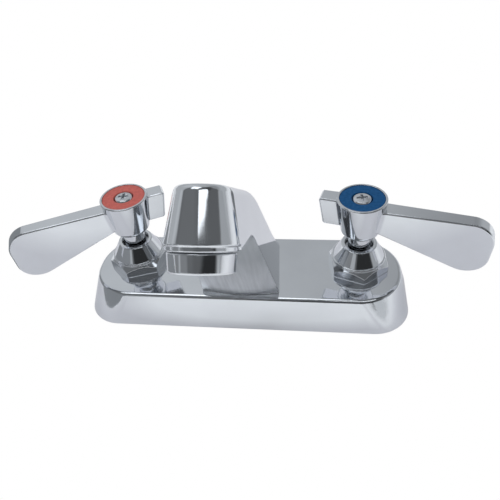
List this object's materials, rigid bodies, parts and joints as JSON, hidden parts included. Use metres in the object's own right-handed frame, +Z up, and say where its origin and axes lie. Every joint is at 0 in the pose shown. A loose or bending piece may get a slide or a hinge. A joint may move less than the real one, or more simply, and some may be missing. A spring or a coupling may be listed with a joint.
{
  "type": "basin tap",
  "caption": "Centreset basin tap: a cast base with a fixed raised spout between a hot and a cold quarter-turn lever valve, on threaded shanks that pass through the sink deck.",
  "frame": {"origin": "midway between the axes of the two inlet shanks, in the plane of the sink deck, on the underside of the deck gasket", "axes": "+Z up along the shanks, -Y towards the user and the outlet, +X towards the cold valve, so that X runs through both shanks"},
  "size_m": [0.2005, 0.0962, 0.1496],
  "materials": {
    "chrome_body": "polished chrome plate with faint polishing marks",
    "chrome_handle": "polished chrome plate on a die casting",
    "chrome_trim": "bright chrome plate on turned brass",
    "chrome_aerator": "bright chrome plate on turned brass",
    "chrome_screw": "plated steel",
    "red_disc": "glossy red plastic",
    "blue_disc": "glossy blue plastic",
    "brass": "turned brass",
    "ceramic": "lapped alumina ceramic",
    "black_rubber": "matt black rubber",
    "plain_steel": "plain steel",
    "steel_mesh": "fine woven wire",
    "white_plastic": "moulded acetal"
  },
  "bodies": {
    "tap_body": {"body_casting": "chrome_body", "deck_gasket": "black_rubber", "mounting_washers": "plain_steel", "locknuts": "brass", "hot_inlet_shank": "brass", "cold_inlet_shank": "brass", "hot_bonnet_nut": "chrome_trim", "cold_bonnet_nut": "chrome_trim", "hot_cartridge_body": "chrome_trim", "cold_cartridge_body": "chrome_trim", "hot_cartridge_o_ring": "black_rubber", "cold_cartridge_o_ring": "black_rubber", "hot_seat_seal": "black_rubber", "cold_seat_seal": "black_rubber", "hot_fixed_disc": "ceramic", "cold_fixed_disc": "ceramic", "aerator_housing": "chrome_aerator", "aerator_insert": "white_plastic", "aerator_screen": "steel_mesh", "aerator_mixer": "white_plastic", "aerator_washer": "black_rubber"},
    "hot_valve": {"hot_handle": "chrome_handle", "hot_stem": "chrome_trim", "hot_stem_o_ring": "black_rubber", "hot_moving_disc": "ceramic", "hot_retaining_clip": "plain_steel", "hot_index_disc": "red_disc", "hot_handle_screw": "chrome_screw"},
    "cold_valve": {"cold_handle": "chrome_handle", "cold_stem": "chrome_trim", "cold_stem_o_ring": "black_rubber", "cold_moving_disc": "ceramic", "cold_retaining_clip": "plain_steel", "cold_index_disc": "blue_disc", "cold_handle_screw": "chrome_screw"}
  },
  "joints": [
    {"name": "hot_handle_turn", "type": "hinge", "parent": "tap_body", "child": "hot_valve", "pos_m": [-0.0508, 0, 0.03], "axis": [0, 0, 1], "range_deg": [-26.3, 63.7]},
    {"name": "cold_handle_turn", "type": "hinge", "parent": "tap_body", "child": "cold_valve", "pos_m": [0.0508, 0, 0.03], "axis": [0, 0, -1], "range_deg": [-13.3, 76.7]}
  ]
}
